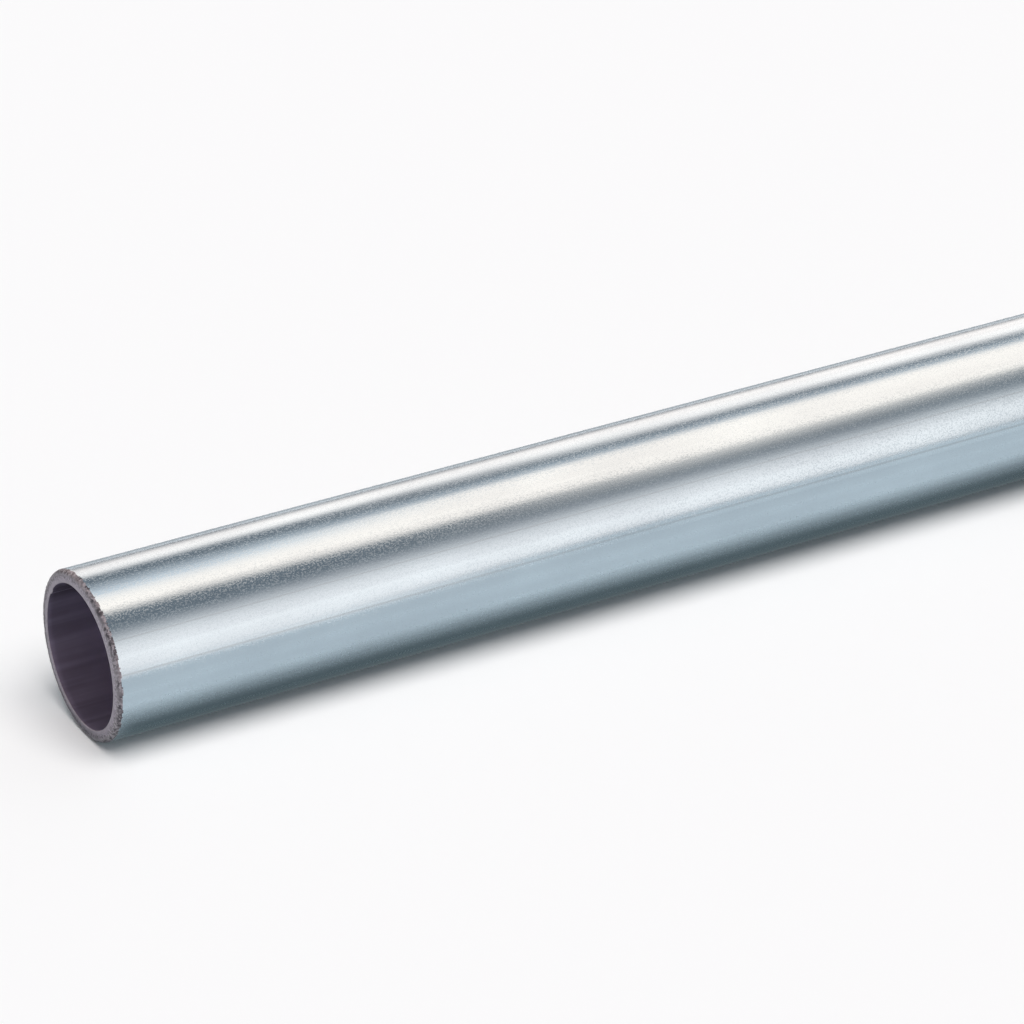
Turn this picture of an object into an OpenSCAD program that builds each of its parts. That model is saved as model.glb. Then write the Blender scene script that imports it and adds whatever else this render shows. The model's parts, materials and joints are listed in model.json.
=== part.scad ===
// Round galvanised steel tube, rolled from strip, welded along one seam and sawn to a stock length.
// It lies along X on its lowest line, and the origin is on that line, half way along.

/* [Tube] */
// Outside diameter
outer_d = 20; // [16:0.5:60]
// Thickness of the wall
wall = 1.5; // [1:0.1:3]
// Length as sold
length = 1000; // [250:50:3000]

/* [Sawn ends] */
// Radius of the rounded outside edge at both ends
edge_r = 0.6; // [0.2:0.05:0.8]

/* [Weld seam] */
// Turn of the seam from the top of the tube towards +Y, in degrees
seam_turn = 53; // [0:1:359]
// Width of the weld bead, from foot to foot on the bore's wall
bead_w = 1.2; // [0.8:0.1:2]
// Height of the rolled-down bead above the line between its feet
bead_h = 0.18; // [0.05:0.01:0.3]

/* [Hidden] */
$fn = 96;

outer_r = outer_d / 2;
bore_r = outer_r - wall;

// The bead's crown is an arc through its two feet, which stand on the bore's wall.
foot_r = sqrt(pow(bore_r, 2) - pow(bead_w / 2, 2));
crown_r = (pow(bead_w / 2, 2) + pow(bead_h, 2)) / (2 * bead_h);
crown_centre = foot_r - bead_h + crown_r;

// How far the bore's shape runs out past each end, and the bead's past that
run_out = 2 * wall;

// Half section of the tube's outside, with X out from its axis and Y along it
module outside_section() {
    square([outer_r - edge_r, length]);
    translate([0, edge_r])
        square([outer_r, length - 2 * edge_r]);
    for (end = [edge_r, length - edge_r])
        translate([outer_r - edge_r, end])
            circle(r = edge_r);
}

// Low bead that the weld leaves standing along the bore's wall, at the seam
module weld_bead() {
    rotate([0, 0, 180 - seam_turn])
        translate([crown_centre, 0, -2 * run_out])
            cylinder(r = crown_r, h = length + 4 * run_out);
}

// The space inside the tube
module bore() {
    difference() {
        translate([0, 0, -run_out])
            cylinder(r = bore_r, h = length + 2 * run_out);
        weld_bead();
    }
}

module tube() {
    color([0.66, 0.71, 0.75])
        translate([-length / 2, 0, outer_r])
            rotate([0, 90, 0])
                difference() {
                    rotate_extrude()
                        outside_section();
                    bore();
                }
}

tube();
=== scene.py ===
# %% [markdown]
# A galvanised steel tube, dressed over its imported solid.
#
# The real thing is one piece of stock: strip steel rolled round, welded along one line,
# zinc coated outside and sawn to length. So there is one piece to model here and four
# finishes to give it: bright zinc outside, the bare sawn ring at each end, the rough rounded
# edge between those two, and the dark bore. The frame gives the tube's sizes, in metres, and
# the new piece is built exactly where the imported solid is.

# %% Load the frame and read the tube's sizes from it
import json
import math

import bmesh
import bpy
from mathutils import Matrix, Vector, noise


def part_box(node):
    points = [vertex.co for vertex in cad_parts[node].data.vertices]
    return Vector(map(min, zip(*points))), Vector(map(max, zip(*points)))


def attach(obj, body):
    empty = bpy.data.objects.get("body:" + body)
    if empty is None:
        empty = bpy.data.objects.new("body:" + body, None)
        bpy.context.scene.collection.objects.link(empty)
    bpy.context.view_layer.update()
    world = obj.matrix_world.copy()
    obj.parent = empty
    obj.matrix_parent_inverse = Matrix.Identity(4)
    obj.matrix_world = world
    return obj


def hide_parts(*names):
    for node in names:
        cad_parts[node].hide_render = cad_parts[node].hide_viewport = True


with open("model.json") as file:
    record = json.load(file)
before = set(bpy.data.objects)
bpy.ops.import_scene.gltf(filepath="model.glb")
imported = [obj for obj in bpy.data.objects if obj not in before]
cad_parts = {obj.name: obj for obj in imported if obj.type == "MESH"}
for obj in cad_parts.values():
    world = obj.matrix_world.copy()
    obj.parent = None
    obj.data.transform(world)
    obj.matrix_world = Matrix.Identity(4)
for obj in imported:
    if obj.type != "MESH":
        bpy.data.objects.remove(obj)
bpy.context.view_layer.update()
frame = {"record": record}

MM = 0.001
low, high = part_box("tube")
LENGTH = high[0] - low[0]
OUTER_R = (high[2] - low[2]) / 2
mounts = {mount["name"]: mount for mount in frame["record"]["mounts"]}
BORE_R = mounts["bore_end_a"]["dims"]["r_mm"] * MM
EDGE_R = (LENGTH - mounts["outside"]["dims"]["length_mm"] * MM) / 2
AXIS = Vector((0, 0, low[2] + OUTER_R))
print(f"tube {LENGTH / MM:.0f} mm long, {2 * OUTER_R / MM:.2f} mm outside, bore {2 * BORE_R / MM:.2f} mm")

# %% [markdown]
# The camera comes first, because everything else is judged through it.
#
# A long lens stands low over the floor, turned so that the tube runs away to the right.
# It could be aimed with a tracking constraint, but three plain offsets from the middle of
# the sawn end say exactly where the picture is taken from, and they are easy to check.

# %% Set the camera by its place seen from the sawn end
LENS = 146.1
LOOK_DOWN = math.radians(27.63)
TURN = math.radians(30.51)
END_LEFT, END_BELOW, END_AWAY = 48.07 * MM, 16.11 * MM, 461.85 * MM

end_centre = AXIS + Vector((-LENGTH / 2, 0, 0))
camera_data = bpy.data.cameras.new("camera")
camera_data.lens = LENS
camera_data.sensor_width = 36
camera_data.clip_start = 0.01
camera = bpy.data.objects.new("camera", camera_data)
camera.rotation_euler = (math.pi / 2 - LOOK_DOWN, 0, -TURN)
camera_turn = camera.rotation_euler.to_matrix()
camera.location = end_centre + camera_turn @ Vector((END_LEFT, END_BELOW, END_AWAY))
bpy.context.scene.collection.objects.link(camera)
bpy.context.scene.camera = camera
print("camera at", [round(value, 3) for value in camera.location])

# %% [markdown]
# Shader maths reads best as plain sums.
#
# A material is a web of small nodes, and wiring each one by hand hides the idea. The class
# below wraps one socket, so that `1 - mask` or `grain * 0.3` adds the Math node itself. Any
# other node comes from `add`, which takes its type, its settings and its inputs. Sockets go by
# name, or by number on a Mix node, where several have the same name.

# %% A small class that turns sums into nodes
class Wire:
    """One value on its way through a material."""

    def __init__(self, tree, socket=None):
        self.tree = tree
        self.socket = socket

    def add(self, kind, settings=None, inputs=None, output=0):
        """Adds a node of that kind, and gives the wire that leaves it."""
        node = self.tree.nodes.new(kind)
        for name, value in (settings or {}).items():
            setattr(node, name, value)
        for name, value in (inputs or {}).items():
            if isinstance(value, Wire):
                self.tree.links.new(value.socket, node.inputs[name])
            else:
                node.inputs[name].default_value = value
        return Wire(self.tree, node.outputs[output])

    def sum(self, operation, *values):
        """Adds a Math node for that operation on those values."""
        return self.add("ShaderNodeMath", {"operation": operation}, dict(enumerate(values)))

    def __add__(self, other):
        return self.sum("ADD", self, other)

    def __sub__(self, other):
        return self.sum("SUBTRACT", self, other)

    def __rsub__(self, other):
        return self.sum("SUBTRACT", other, self)

    def __mul__(self, other):
        return self.sum("MULTIPLY", self, other)

    __radd__ = __add__
    __rmul__ = __mul__

    def size(self):
        """The value without its sign."""
        return self.sum("ABSOLUTE", self)

    def between(self, start, end, low_value=0.0, high_value=1.0):
        """Runs smoothly from low_value at start to high_value at end."""
        inputs = {"Value": self, "From Min": start, "From Max": end}
        inputs.update({"To Min": low_value, "To Max": high_value})
        return self.add("ShaderNodeMapRange", {"interpolation_type": "SMOOTHSTEP"}, inputs)

    def blend(self, first, second):
        """Mixes two colours, with this value as the share of the second."""
        first, second = (shade if isinstance(shade, Wire) else (*shade, 1) for shade in (first, second))
        return self.add("ShaderNodeMix", {"data_type": "RGBA"}, {0: self, 6: first, 7: second}, output=2)

    def split(self):
        """The three parts of a place, along X, Y and Z."""
        node = self.add("ShaderNodeSeparateXYZ", inputs={"Vector": self}).socket.node
        return [Wire(self.tree, output) for output in node.outputs]

    def feed(self, shader, name):
        """Leads this value into a socket of the shader."""
        self.tree.links.new(self.socket, shader.inputs[name])


def new_finish(name):
    """A bare material, the wire that starts its nodes, and its main shader."""
    material = bpy.data.materials.new(name)
    material.use_nodes = True
    shader = material.node_tree.nodes["Principled BSDF"]
    return material, Wire(material.node_tree), shader


print("wires ready")

# %% [markdown]
# The studio is a pale floor, a quiet room and long soft panels.
#
# A polished round bar is a mirror of its room: each angle round it shows one direction of
# the studio. So the stripes along the tube are panels, and the dark bands are the bare room
# between them. Lamps with hard edges would give hard stripes. Panels whose light fades
# towards their edges give the soft ones that a real softbox gives. Two narrow cards do what
# cards do in a studio: a bright one beside the sawn end and a grey one close behind the tube.
# A dim glowing sheet just above the floor under the tube is painted shadow: it shows only in
# reflections, where it deepens the tube's lower edge. One broad light is for the floor. It is
# kept out of reflections, so that it adds no stripe of its own.

# %% The floor, which keeps the tube's shadow
FLOOR_PAINT = (0.95, 0.93, 0.915)
FLOOR_HALF = 6

floor_mesh = bpy.data.meshes.new("floor")
bm = bmesh.new()
bmesh.ops.create_grid(bm, x_segments=1, y_segments=1, size=FLOOR_HALF)
bm.to_mesh(floor_mesh)
bm.free()
floor = bpy.data.objects.new("floor", floor_mesh)
bpy.context.scene.collection.objects.link(floor)

floor_paint, wire, shader = new_finish("floor_paint")
shader.inputs["Base Color"].default_value = (*FLOOR_PAINT, 1)
shader.inputs["Roughness"].default_value = 1.0
shader.inputs["Specular IOR Level"].default_value = 0.0
floor_mesh.materials.append(floor_paint)
print("floor laid:", 2 * FLOOR_HALF, "m square")

# %% The room, which is bare and grey
ROOM_GREY = (0.29, 0.305, 0.33)
world = bpy.data.worlds.new("room")
bpy.context.scene.world = world
world.use_nodes = True
room = world.node_tree.nodes["Background"]
room.inputs["Color"].default_value = (*ROOM_GREY, 1)
room.inputs["Strength"].default_value = 1.0
print("room ready, grey", ROOM_GREY)

# %% A helper for light that fades towards a panel's edges
def fading_light(name, ends, places, light):
    """A glow that fades in and out along the panel, at ends, and across it, at places."""
    material, wire, shader = new_finish(name)
    along, across = wire.add("ShaderNodeTexCoord", output="Object").split()[:2]
    strength = along.between(ends[0], ends[1]) * along.between(ends[3], ends[2])
    strength = strength * across.between(places[0], places[1]) * across.between(places[3], places[2])
    wire.tree.nodes.remove(shader)
    clear = wire.add("ShaderNodeBsdfTransparent")
    glow = wire.add("ShaderNodeEmission", inputs={"Color": (*light, 1)})
    mixed = wire.add("ShaderNodeMixShader", inputs={0: strength, 1: clear, 2: glow})
    mixed.feed(wire.tree.nodes["Material Output"], "Surface")
    return material


print("fading light ready")

# %% A helper that hangs a soft panel beside the tube
def soft_panel(name, away, rolls, spans, light):
    """A glowing panel that shows only in reflections.

    rolls are four angles round the tube, from the front up over the top, in degrees. The light
    starts at the first, is full from the second to the third and ends at the fourth. spans are
    four places along the tube, used in the same way.
    """
    middle_roll, middle_x = (rolls[0] + rolls[3]) / 2, (spans[0] + spans[3]) / 2
    places = [away * math.tan(math.radians(roll - middle_roll)) for roll in rolls]
    ends = [span - middle_x for span in spans]
    mesh = bpy.data.meshes.new(name)
    bm = bmesh.new()
    bmesh.ops.create_grid(bm, x_segments=1, y_segments=1, size=1)
    bmesh.ops.scale(bm, verts=bm.verts, vec=(ends[3], places[3], 1))
    bm.to_mesh(mesh)
    bm.free()
    mesh.materials.append(fading_light(name, ends, places, light))
    panel = bpy.data.objects.new(name, mesh)
    out = Vector((0, -math.cos(math.radians(middle_roll)), math.sin(math.radians(middle_roll))))
    panel.location = AXIS + out * away + Vector((middle_x, 0, 0))
    panel.rotation_euler = (math.radians(90 - middle_roll), 0, 0)
    panel.visible_camera = False
    panel.visible_diffuse = False
    panel.visible_shadow = False
    bpy.context.scene.collection.objects.link(panel)
    print(f"{name}: {2 * ends[3]:.2f} m long and {2 * places[3]:.3f} m wide")


print("panel helper ready")

# %% The soft panels, each at an angle round the tube
WHOLE = (-1.6, -1.4, 1.4, 1.6)
NEAR_END = (-1.6, -1.4, 0.16, 0.52)
FROM_THE_END = (-0.19, -0.10, 1.4, 1.6)
FAR_PART = (-0.08, 0.15, 1.4, 1.6)
MIDDLE = (-0.14, -0.04, -0.03, 0.24)
WARM = (2.32, 1.83, 1.55)
OVERCAST = (1.375, 1.30, 1.29)
COOL = (2.16, 1.79, 1.60)
FRONT = (1.93, 1.66, 1.54)
soft_panel("front_low", 0.90, (-4, 6, 20, 60), NEAR_END, FRONT)
soft_panel("overhead", 0.80, (70, 84, 90, 114), WHOLE, WARM)
soft_panel("overhead_cool", 0.82, (86, 98, 102, 133), WHOLE, OVERCAST)
soft_panel("overhead_far", 0.70, (68, 83, 108, 119), FROM_THE_END, WARM)
soft_panel("overhead_low", 0.70, (48, 96, 98, 104), MIDDLE, WARM)
soft_panel("back_strip", 0.90, (136, 152, 157, 182), WHOLE, COOL)
soft_panel("back_far", 0.93, (126, 145, 148, 178), FAR_PART, COOL)

# %% Two cards, for the sawn end and the back, and a sheet of painted shadow under the tube
GREY_CARD = (0.47, 0.50, 0.52)
PAINTED_SHADOW_GLOW = (0.14, 0.17, 0.178)
BY_THE_END = (-0.56, -0.54, -0.455, -0.40)
UNDER_TUBE = (-0.505, -0.495, 0.495, 0.505)
soft_panel("front_card", 0.075, (-17, 8, 12, 20), BY_THE_END, FRONT)
soft_panel("back_card", 0.045, (172, 178, 186, 191), WHOLE, GREY_CARD)
# Painted shadow: a dim glowing sheet just above the floor under the tube, seen only in reflections,
# darkens the floor that the tube's underside mirrors.
soft_panel("painted_shadow_sheet", 0.0097, (-150.5, -124.5, -55.5, -29.5), UNDER_TUBE, PAINTED_SHADOW_GLOW)

# %% A broad light above and in front, whose shadow falls mostly behind the tube
FILL_LIGHT = 2.50
FILL_SPREAD = math.radians(46)
FILL_TILT = math.radians(24)
fill_data = bpy.data.lights.new("fill", "SUN")
fill_data.angle = FILL_SPREAD
fill_data.energy = FILL_LIGHT
fill = bpy.data.objects.new("fill", fill_data)
fill.rotation_euler = (FILL_TILT, 0, 0)
fill.visible_glossy = False
bpy.context.scene.collection.objects.link(fill)

# %% [markdown]
# The tube is turned, not drawn.
#
# Its wall section is only four corners. Spun once round the axis it gives the whole tube with
# square ends. A bevel on the two outer corners gives the rounded edge that the works leaves,
# and a far smaller one breaks the corners at the bore. A plain cylinder with a modifier could
# give the same wall, but many narrow faces have to go round it, because the tool marks on the
# edge are less than half a millimetre apart, and a spin gives them in one step.

# %% Spin the wall section round the axis
FACES_ROUND = 900
SAME_PLACE = 0.001 * MM

tube_bm = bmesh.new()
section = [(-1, BORE_R), (-1, OUTER_R), (1, OUTER_R), (1, BORE_R)]
corners = [tube_bm.verts.new((side * LENGTH / 2, 0, AXIS.z + radius)) for side, radius in section]
sides = [tube_bm.edges.new((corners[i - 1], corners[i])) for i in range(len(corners))]
bmesh.ops.spin(tube_bm, geom=corners + sides, cent=AXIS, axis=(1, 0, 0), angle=2 * math.pi,
               steps=FACES_ROUND, use_merge=True)
bmesh.ops.remove_doubles(tube_bm, verts=tube_bm.verts, dist=SAME_PLACE)
bmesh.ops.recalc_face_normals(tube_bm, faces=tube_bm.faces)
print("spun:", len(tube_bm.faces), "faces")

# %% Round the outer edges and break the bore's
EDGE_STEPS = 8
BORE_BREAK = 0.07 * MM
BREAK_STEPS = 2
CLOSE = 0.01 * MM


def radius_of(point):
    """How far the point is from the tube's axis."""
    return math.hypot(point.y, point.z - AXIS.z)


def set_radius(vert, radius):
    """Moves a vertex straight out from the axis, or in towards it."""
    factor = radius / radius_of(vert.co)
    vert.co.y *= factor
    vert.co.z = AXIS.z + (vert.co.z - AXIS.z) * factor


def rim(radius):
    """The two circles of edges at the tube's ends, at that radius."""
    found = []
    for edge in tube_bm.edges:
        a, b = (vert.co for vert in edge.verts)
        off = max(abs(radius_of(a) - radius), abs(radius_of(b) - radius))
        if abs(a.x - b.x) < CLOSE and off < CLOSE:
            found.append(edge)
    return found


for radius, size, steps in ((OUTER_R, EDGE_R, EDGE_STEPS), (BORE_R, BORE_BREAK, BREAK_STEPS)):
    bmesh.ops.bevel(tube_bm, geom=rim(radius), offset=size, offset_type="OFFSET", segments=steps,
                    profile=0.5, affect="EDGES", material=-1)
print("after the bevels:", len(tube_bm.faces), "faces")

# %% Cut the long faces and the sawn rings into shorter ones
SPANS_ALONG = 8
SPANS_ACROSS_RING = 3
END_CUT = 0.15 * MM
INSIDE_R = OUTER_R - EDGE_R
ring_width = INSIDE_R - BORE_R - BORE_BREAK


def rise_of(edge):
    """How much further from the axis one end of the edge is than the other."""
    return abs(radius_of(edge.verts[0].co) - radius_of(edge.verts[1].co))


long_edges = [edge for edge in tube_bm.edges if edge.calc_length() > LENGTH / 2]
bmesh.ops.subdivide_edges(tube_bm, edges=long_edges, cuts=SPANS_ALONG - 1, use_grid_fill=True)
ring_edges = [edge for edge in tube_bm.edges if abs(rise_of(edge) - ring_width) < CLOSE]
bmesh.ops.subdivide_edges(tube_bm, edges=ring_edges, cuts=SPANS_ACROSS_RING - 1, use_grid_fill=True)
for end in (-1, 1):
    everything = tube_bm.verts[:] + tube_bm.edges[:] + tube_bm.faces[:]
    place = Vector((end * (LENGTH / 2 - EDGE_R - END_CUT), 0, 0))
    bmesh.ops.bisect_plane(tube_bm, geom=everything, plane_co=place, plane_no=(1, 0, 0))
print("after the cuts:", len(tube_bm.faces), "faces")

# %% [markdown]
# The weld leaves a low bead inside.
#
# It stands about a fifth of a millimetre off the bore's wall and is sawn off flush with the
# end. A strip of its own could be laid in the bore, but it would leave a line where the two
# meet. The bore has vertices enough there already, so they are pushed in to the bead's crown,
# which is an arc through its two feet.

# %% Raise the weld bead in the bore
SEAM_TURN = math.radians(53)
BEAD_HALF = 0.6 * MM
BEAD_HIGH = 0.18 * MM
bead_foot = math.sqrt(BORE_R ** 2 - BEAD_HALF ** 2)
crown_r = (BEAD_HALF ** 2 + BEAD_HIGH ** 2) / (2 * BEAD_HIGH)
crown_centre = bead_foot - BEAD_HIGH + crown_r


def turn_of(point):
    """The point's angle round the tube, from its top towards +Y."""
    return math.atan2(point.y, point.z - AXIS.z)


raised = 0
for vert in tube_bm.verts:
    radius = radius_of(vert.co)
    off = abs(turn_of(vert.co) - SEAM_TURN)
    in_bore = radius < BORE_R + BORE_BREAK * 1.5
    if in_bore and off < math.asin(BEAD_HALF / BORE_R):
        aside = crown_centre * math.sin(off)
        crown = crown_centre * math.cos(off) - math.sqrt(crown_r ** 2 - aside ** 2)
        set_radius(vert, radius - (BORE_R - crown))
        raised += 1
print("bead vertices:", raised)

# %% [markdown]
# The rounded edge is rough.
#
# The tool that broke the saw's sharp edge chattered, and left pits and notches across it, no
# two alike. They could be bump only, but the edge stands out against the zinc, so they are cut
# into the mesh. Two sizes of noise, read round the tube, say how deep the tool bit.

# %% Cut the chatter marks across the edge
CHATTER_DEEP = 0.05 * MM
PITS_PER_MM = 2.4
FINER = 2.3
FINER_SHARE = 0.6
ACROSS_STRETCH = 1.7
OTHER_END = 40
RING_SHARE = 0.35


def across_edge(point):
    """0 where the sawn ring ends and 1 where the zinc starts."""
    depth_in = LENGTH / 2 - abs(point.x)
    return math.atan2(max(radius_of(point) - INSIDE_R, 0), max(EDGE_R - depth_in, 0)) / (math.pi / 2)


def chatter_at(point):
    """How deep the tool bit at this place on the edge, from 0 to 1."""
    turn = turn_of(point)
    round_mm = OUTER_R / MM * PITS_PER_MM
    place = Vector((round_mm * math.cos(turn), round_mm * math.sin(turn), 0))
    place.z = across_edge(point) * ACROSS_STRETCH + (OTHER_END if point.x > 0 else 0)
    rough = noise.noise(place) + FINER_SHARE * noise.noise(place * FINER)
    return min(max(rough * 0.9 + 0.4, 0), 1)


bitten = 0
for vert in tube_bm.verts:
    radius = radius_of(vert.co)
    # Only the edge and the outer third of the ring move
    if LENGTH / 2 - abs(vert.co.x) > EDGE_R * 1.01 or radius < INSIDE_R - ring_width * 0.4:
        continue
    across = across_edge(vert.co)
    # About a third of the full depth at the ring, all of it in the middle and none at the zinc
    share = math.sin(math.pi * (0.12 + 0.88 * across))
    deep = chatter_at(vert.co) * CHATTER_DEEP * share
    if radius < INSIDE_R - SAME_PLACE:
        deep *= RING_SHARE
    vert.co.x -= math.copysign(deep * math.cos(across * math.pi / 2), vert.co.x)
    set_radius(vert, radius - deep * math.sin(across * math.pi / 2))
    bitten += 1
print("vertices on the two rough edges:", bitten)

# %% [markdown]
# Each face is given its finish by where it is.
#
# The depth in from the end and the radius tell the zinc, the ring, the edge and the bore
# apart. The zinc's own border follows the tool marks, because the tool took the coating off
# where it bit. A mask in one large material could do the same, but faces sorted into four
# plain materials are easier to read and to change.

# %% Sort the faces into the four finishes
ZINC, SAWN, EDGE, BORE = range(4)
EDGE_REACH = 0.82
EDGE_WANDER = 0.26
counts = [0, 0, 0, 0]
for face in tube_bm.faces:
    middle = face.calc_center_median()
    depth_in = LENGTH / 2 - abs(middle.x)
    if radius_of(middle) < BORE_R + BORE_BREAK * 0.5 and depth_in > BORE_BREAK:
        face.material_index = BORE
    elif radius_of(middle) < INSIDE_R:
        face.material_index = SAWN
    elif depth_in < EDGE_R * (EDGE_REACH + EDGE_WANDER * chatter_at(middle)):
        face.material_index = EDGE
    else:
        face.material_index = ZINC
    face.smooth = True
    counts[face.material_index] += 1
print("faces of zinc, sawn ring, chattered edge and bore:", counts)

# %% Turn the finished shape into an object
tube_mesh = bpy.data.meshes.new("round_tube")
tube_bm.to_mesh(tube_mesh)
tube_bm.free()
round_tube = bpy.data.objects.new("round_tube", tube_mesh)
bpy.context.scene.collection.objects.link(round_tube)
print("round_tube:", len(tube_mesh.vertices), "vertices,", len(tube_mesh.polygons), "faces")

# %% [markdown]
# The zinc is a bright skin with very fine dull spots.
#
# A spot scatters light from the bright stripes beside it. So the dark bands are speckled with
# light, while the middle of a bright stripe stays almost even. A pattern of colour would
# speckle both alike, so the spots are in the roughness instead. A grain a few micrometres high
# breaks the borders between the stripes, and a few drawn lines run the whole length.

# %% Helpers for fine grains and for the place round the axis
def grains(place, per_metre, detail, along=1):
    """Noise with about that many grains to the metre, drawn out along the tube by an along under 1."""
    drawn = place.add("ShaderNodeMapping", inputs={"Vector": place, "Scale": (along, 1, 1)})
    return place.add("ShaderNodeTexNoise", inputs={"Vector": drawn, "Scale": per_metre, "Detail": detail})


def turn_at(place):
    """The turn round the axis, from the tube's top towards +Y."""
    across, up = place.split()[1:]
    return place.sum("ARCTAN2", across, up - AXIS.z)


def radius_at(place):
    """The distance from the axis."""
    across, up = place.split()[1:]
    up = up - AXIS.z
    return place.sum("SQRT", across * across + up * up)


print("helpers ready for grains, turn and radius")

# %% Mix the zinc's colour, with its drawn lines
ZINC_LIGHT = (0.437, 0.545, 0.615)
ZINC_DULL = (0.375, 0.465, 0.53)
DRAWN_LINE = (0.25, 0.28, 0.30)
# For each drawn line, its turn and half width in radians, and how strongly it shows
LINES = ((-0.959, 0.013, 0.38), (-1.353, 0.02, 0.4), (0.93, 0.02, 0.35), (2.2, 0.012, 0.4))

zinc, wire, shader = new_finish("bright_zinc")
place = wire.add("ShaderNodeTexCoord", output="Object")
streaks = grains(place, 900, 3, along=0.004)
clouds = grains(place, 90, 3, along=0.5)

turn = turn_at(place)
lines = 0
for angle, width, depth in LINES:
    lines = (turn - angle).size().between(width, width * 0.2, 0, depth) + lines
lines = lines * streaks.between(0.35, 0.6, 0.35, 1)

tone = (clouds * 0.6 + streaks * 0.4).between(0.35, 0.65)
base = tone.blend(ZINC_DULL, ZINC_LIGHT)
lines.blend(base, DRAWN_LINE).feed(shader, "Base Color")
print("zinc coloured, lines:", len(LINES))

# %% Mix the zinc's spots and grain
SMOOTH_ZINC = 0.075
GRAIN_HIGH = 0.016 * MM
grain = grains(place, 5000, 1, along=0.7)
ripple = grains(place, 700, 2, along=0.25)
spots = grains(place, 5600, 1, along=0.8).between(0.42, 0.65)
(streaks * 0.04 + spots * 0.18 + SMOOTH_ZINC).feed(shader, "Roughness")
height = grain * 0.32 + ripple * 0.03 + streaks * 0.012 - lines * 0.05
wire.add("ShaderNodeBump", inputs={"Height": height, "Distance": GRAIN_HIGH}).feed(shader, "Normal")
shader.inputs["Metallic"].default_value = 1.0
tube_mesh.materials.append(zinc)
print("zinc mixed")

# %% [markdown]
# The sawn ends are bare steel.
#
# They are duller and warmer than the zinc, with a lilac cast. The saw left the ring mottled,
# most of all towards its outside, and the ring is darker towards its lower back side. The
# rounded edge has dark spots, mostly on its outer half, which are painted shade for the shaded
# sides of the chatter pits. Each could have a material written out in full, but they are the
# same steel and differ mostly in how light and dark are spread. So two small functions say how
# light each is, and one function mixes both.

# %% How light the sawn ring and the pitted edge are, from 0 to 1
LIGHTEST_TURN = math.radians(-62)
TORN_FROM = BORE_R + 0.3 * MM
TORN_FULL = BORE_R + 0.75 * MM
PIT_SHADE_FULL = OUTER_R - EDGE_R * 0.3


def sawn_tone(place, marks, patches):
    """Mottled towards the ring's outside, and darker towards its lower back side."""
    torn = radius_at(place).between(TORN_FROM, TORN_FULL)
    far_side = 0.5 - place.sum("COSINE", turn_at(place) - LIGHTEST_TURN) * 0.5
    calm = patches.between(0.3, 0.7) * 0.2 + 0.58 - far_side * (torn * 0.6 + 0.12)
    return calm + (marks.between(0.35, 0.65) - 0.5) * (torn * 0.6 + 0.2)


def pit_shade_tone(place, marks, patches):
    """Light, with dark spots of painted shade for the chatter pits, darkest on the outer half of the
    edge.
    """
    outer_half = radius_at(place).between(INSIDE_R, PIT_SHADE_FULL, 0.4, 1)
    # Painted shade: dark spots stand in for the shaded sides of the chatter pits, most on the edge's
    # outer half.
    pit_shade = grains(place, 2900, 2).between(0.62, 0.45)
    return 1 - pit_shade * patches.between(0.35, 0.6, 0.5, 1) * outer_half


print("tones ready, torn from", round(TORN_FROM / MM, 2), "mm")

# %% Mix the two kinds of bare steel
RING_LIGHT = (0.385, 0.36, 0.42)
RING_DARK = (0.10, 0.093, 0.11)
EDGE_LIGHT = (0.28, 0.265, 0.295)
EDGE_DARK = (0.055, 0.052, 0.062)
SMOOTH_STEEL = 0.35


def bare_steel(name, tone_of, dark, light, deep, metal):
    """Bare steel between a dark and a light shade, where tone_of says how light it is."""
    material, wire, shader = new_finish(name)
    place = wire.add("ShaderNodeTexCoord", output="Object")
    marks = grains(place, 3500, 2)
    patches = grains(place, 900, 3)
    tone_of(place, marks, patches).blend(dark, light).feed(shader, "Base Color")
    (marks * 0.25 + SMOOTH_STEEL).feed(shader, "Roughness")
    height = marks + patches * 0.5
    wire.add("ShaderNodeBump", inputs={"Height": height, "Distance": deep}).feed(shader, "Normal")
    shader.inputs["Metallic"].default_value = metal
    tube_mesh.materials.append(material)


bare_steel("sawn_ring", sawn_tone, RING_DARK, RING_LIGHT, deep=0.015 * MM, metal=0.9)
bare_steel("chattered_edge", pit_shade_tone, EDGE_DARK, EDGE_LIGHT, deep=0.025 * MM, metal=0.6)
print("sawn steel mixed")
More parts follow.
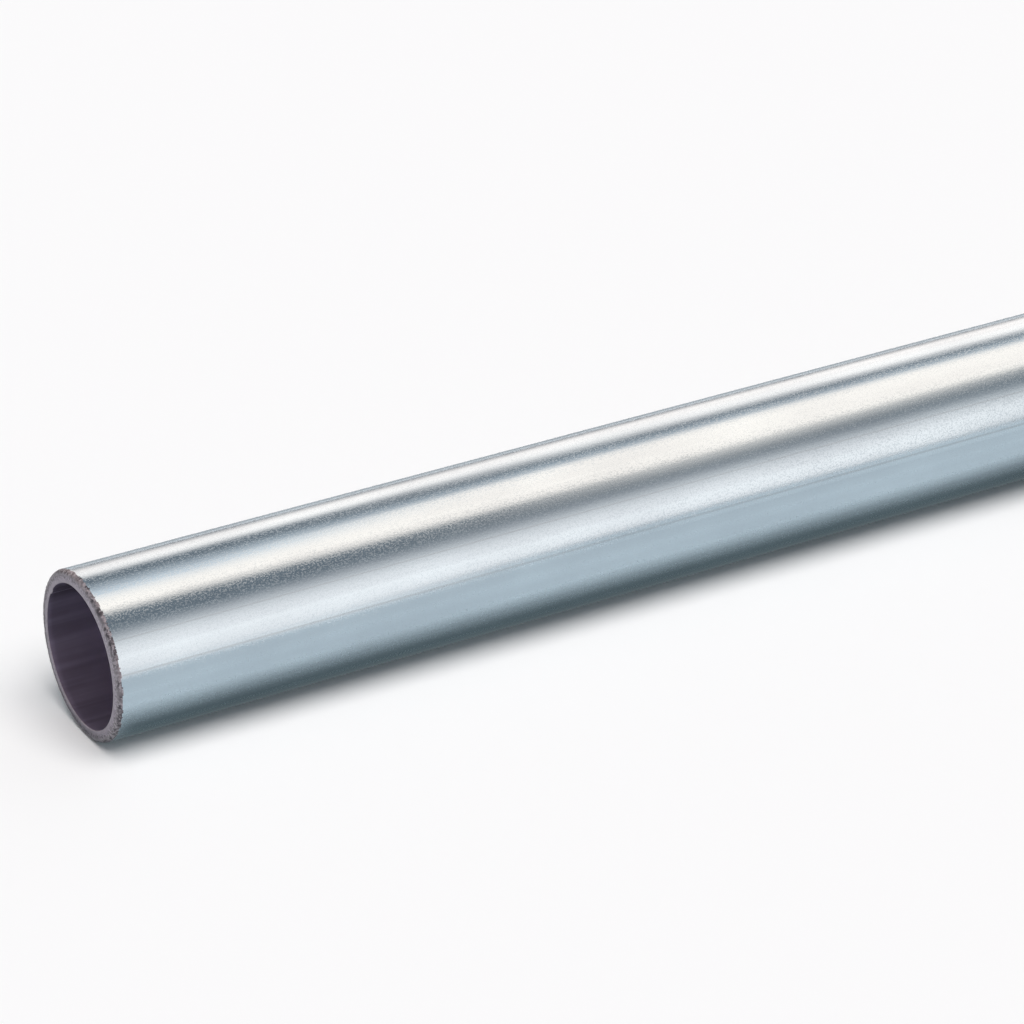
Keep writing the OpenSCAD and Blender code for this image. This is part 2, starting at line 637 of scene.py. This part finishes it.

# %% [markdown]
# The bore was never coated.
#
# It is dark and dull with a violet tinge, and it has faint streaks along it from the rolling.
# The skin is darker beside the weld, except for a thin line along the bead. Its colour runs
# from dark at the mouth to light deeper in, which is painted light: one plain dark colour would
# leave the depth of the bore black, because the light that gets there has already met the wall
# several times.

# %% Mix the bore's skin, by its streaks and its depth
PAINTED_LIGHT_DEPTH = 14 * MM
DULL_SKIN = 0.6
SKIN_HIGH = 0.004 * MM
BORE_LIGHT = (0.49, 0.446, 0.64)
BORE_DARK = (0.11, 0.101, 0.15)

dark_bore, wire, shader = new_finish("dark_bore")
place = wire.add("ShaderNodeTexCoord", output="Object")
streaks = grains(place, 1100, 3, along=0.02)
blotches = grains(place, 250, 3, along=0.5)
depth_in = LENGTH / 2 - place.split()[0].size()
worn = (streaks * 0.6 + blotches * 0.4).between(0.3, 0.7)
# Painted light: the colour grows lighter over the first 14 mm into the bore, to make up for the light
# that fades there.
tone = worn * 0.2 + depth_in.between(0, PAINTED_LIGHT_DEPTH) * 0.7 + 0.05
base = tone.blend(BORE_DARK, BORE_LIGHT)
(streaks * 0.1 + DULL_SKIN).feed(shader, "Roughness")
height = streaks + blotches * 0.3
wire.add("ShaderNodeBump", inputs={"Height": height, "Distance": SKIN_HIGH}).feed(shader, "Normal")
shader.inputs["Metallic"].default_value = 0.95
tube_mesh.materials.append(dark_bore)
print("bore mixed")

# %% Darken the skin beside the weld
WELD_SIDE_DARK = (0.09, 0.082, 0.12)
DARKENED_HALF = 0.30
DARKENED_FULL = 0.10
BEAD_LINE = 0.03

# Darker beside the weld, except for a thin line along the bead.
from_seam = turn_at(place) - SEAM_TURN
bead_line = (from_seam - BEAD_LINE).size().between(0.035, 0.01)
darkened = from_seam.size().between(DARKENED_HALF, DARKENED_FULL, 0, 0.8) * (1 - bead_line)
darkened.blend(base, WELD_SIDE_DARK).feed(shader, "Base Color")
print(f"skin burnt up to {DARKENED_HALF * BORE_R / MM:.1f} mm from the weld")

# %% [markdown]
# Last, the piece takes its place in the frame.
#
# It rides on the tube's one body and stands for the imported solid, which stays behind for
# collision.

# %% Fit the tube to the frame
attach(round_tube, "root")
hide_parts("tube")

bpy.context.scene.view_settings.view_transform = "Standard"
